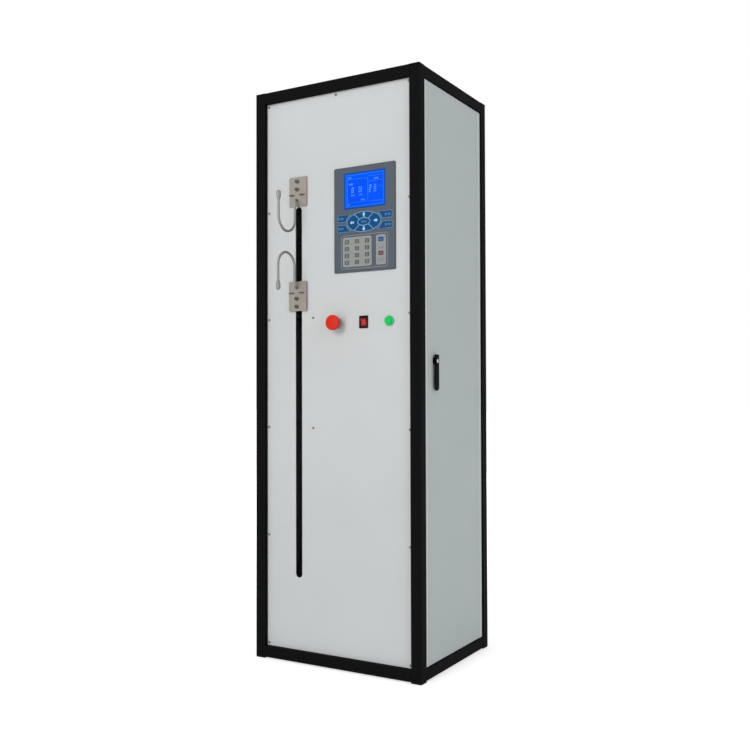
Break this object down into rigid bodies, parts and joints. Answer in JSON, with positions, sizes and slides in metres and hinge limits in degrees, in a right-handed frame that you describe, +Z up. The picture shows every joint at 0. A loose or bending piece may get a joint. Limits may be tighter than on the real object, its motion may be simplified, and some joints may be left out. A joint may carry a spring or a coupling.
{
  "type": "hosiery tensile tester",
  "caption": "Floor-standing cabinet that stretches hosiery between a fixed upper hook and a lower hook driven down a slot by a screw, with a control unit and push buttons.",
  "frame": {"origin": "on the floor, in the middle of the cabinet's footprint", "axes": "+X to the right as seen from the front, +Y to the back, +Z up"},
  "size_m": [0.5179, 0.4942, 1.553],
  "materials": {
    "frame_paint": "satin black powder coat",
    "cover_paint": "fine-textured light grey powder coat",
    "door_paint": "fine-textured light grey powder coat",
    "zinc_plate": "zinc-plated sheet",
    "bright_steel": "ground and polished",
    "chrome_rod": "polished chrome",
    "hook_plate_steel": "brushed stainless steel",
    "machined_aluminium": "machined, clear anodised",
    "black_steel": "satin black",
    "lock_black": "satin black",
    "motor_black": "black motor paint",
    "bronze_bush": "sintered bronze",
    "rubber_black": "moulded rubber",
    "unit_grey": "dark grey housing",
    "membrane_print": "printed keypad film",
    "lcd_blue": "lit blue display",
    "estop_red": "glossy red",
    "collar_grey": "grey plastic collar",
    "start_green": "glossy green",
    "ring_green": "pale green ring",
    "rocker_red": "translucent red",
    "black_plastic": "moulded black plastic"
  },
  "bodies": {
    "cabinet": {"corner_posts": "frame_paint", "bottom_rails": "frame_paint", "top_rails": "frame_paint", "foot_pads": "rubber_black", "panel_ledges": "frame_paint", "panel_stiffener": "frame_paint", "front_panel": "cover_paint", "left_panel": "cover_paint", "rear_panel": "cover_paint", "top_panel": "cover_paint", "base_plate": "zinc_plate", "front_panel_screws": "bright_steel", "cover_screws": "bright_steel", "spine_plate": "machined_aluminium", "spine_foot": "black_steel", "end_blocks": "machined_aluminium", "guide_rods": "chrome_rod", "screw_bearings": "bright_steel", "drive_motor": "motor_black", "motor_mount": "machined_aluminium", "motor_screws": "black_steel", "limit_sensors": "black_plastic", "upper_hook_plate": "hook_plate_steel", "upper_hook": "chrome_rod", "upper_plate_screws": "bright_steel", "upper_adapter": "machined_aluminium", "load_cell": "machined_aluminium", "load_cell_bracket": "black_steel", "control_housing": "unit_grey", "control_membrane": "membrane_print", "lcd_window": "lcd_blue", "estop_barrel": "collar_grey", "start_bezel": "ring_green", "contact_blocks": "black_plastic", "rocker_housing": "black_plastic", "pivot_pins": "bright_steel", "power_supply": "machined_aluminium", "motor_driver": "machined_aluminium", "power_inlet": "black_plastic"},
    "drive_screw": {"lead_screw": "bright_steel", "shaft_coupling": "machined_aluminium", "motor_shaft": "bright_steel"},
    "carriage": {"carriage_block": "machined_aluminium", "guide_bushes": "bronze_bush", "screw_nut": "bright_steel", "sensor_flag": "zinc_plate", "hook_arm": "machined_aluminium", "lower_hook_plate": "hook_plate_steel", "lower_hook": "chrome_rod", "lower_plate_screws": "bright_steel"},
    "door": {"door_panel": "door_paint", "door_pivot_blocks": "zinc_plate", "lock_rosette": "lock_black"},
    "lock": {"lock_lever": "lock_black", "lock_cam": "zinc_plate"},
    "key": {"key_plug": "chrome_rod"},
    "estop_stem": {"estop_plunger": "black_plastic"},
    "estop_cap": {"estop_head": "estop_red"},
    "rocker": {"rocker": "rocker_red"},
    "start": {"start_button": "start_green"}
  },
  "joints": [
    {"name": "carriage_slide", "type": "slide", "parent": "cabinet", "child": "carriage", "axis": [0, 0, 1], "range_m": [-0.71, 0.04]},
    {"name": "screw_spin", "type": "hinge", "parent": "cabinet", "child": "drive_screw", "pos_m": [-0.1205, -0.1, 0.6], "axis": [0, 0, 1], "continuous": true},
    {"name": "door_swing", "type": "hinge", "parent": "cabinet", "child": "door", "pos_m": [0.2468, 0.166, 0.778], "axis": [0, 0, 1], "range_deg": [0, 105]},
    {"name": "lock_turn", "type": "hinge", "parent": "door", "child": "lock", "pos_m": [0.26, -0.1194, 0.805], "axis": [1, 0, 0], "range_deg": [-90, 0]},
    {"name": "key_turn", "type": "hinge", "parent": "lock", "child": "key", "pos_m": [0.262, -0.1194, 0.805], "axis": [1, 0, 0], "range_deg": [0, 90]},
    {"name": "estop_press", "type": "slide", "parent": "cabinet", "child": "estop_stem", "axis": [0, 1, 0], "range_m": [0, 0.004], "stiffness_N_per_m": 600},
    {"name": "estop_twist", "type": "hinge", "parent": "estop_stem", "child": "estop_cap", "pos_m": [0.0045, -0.2, 0.908], "axis": [0, 1, 0], "range_deg": [0, 40], "stiffness_Nm_per_rad": 0.05},
    {"name": "rocker_tilt", "type": "hinge", "parent": "cabinet", "child": "rocker", "pos_m": [0.0848, -0.1905, 0.908], "axis": [-1, 0, 0], "range_deg": [0, 20]},
    {"name": "start_press", "type": "slide", "parent": "cabinet", "child": "start", "axis": [0, 1, 0], "range_m": [0, 0.003], "stiffness_N_per_m": 600}
  ],
  "couplings": [
    {"joint": "screw_spin", "follows": "carriage_slide", "rad_per_m": -628.32}
  ]
}
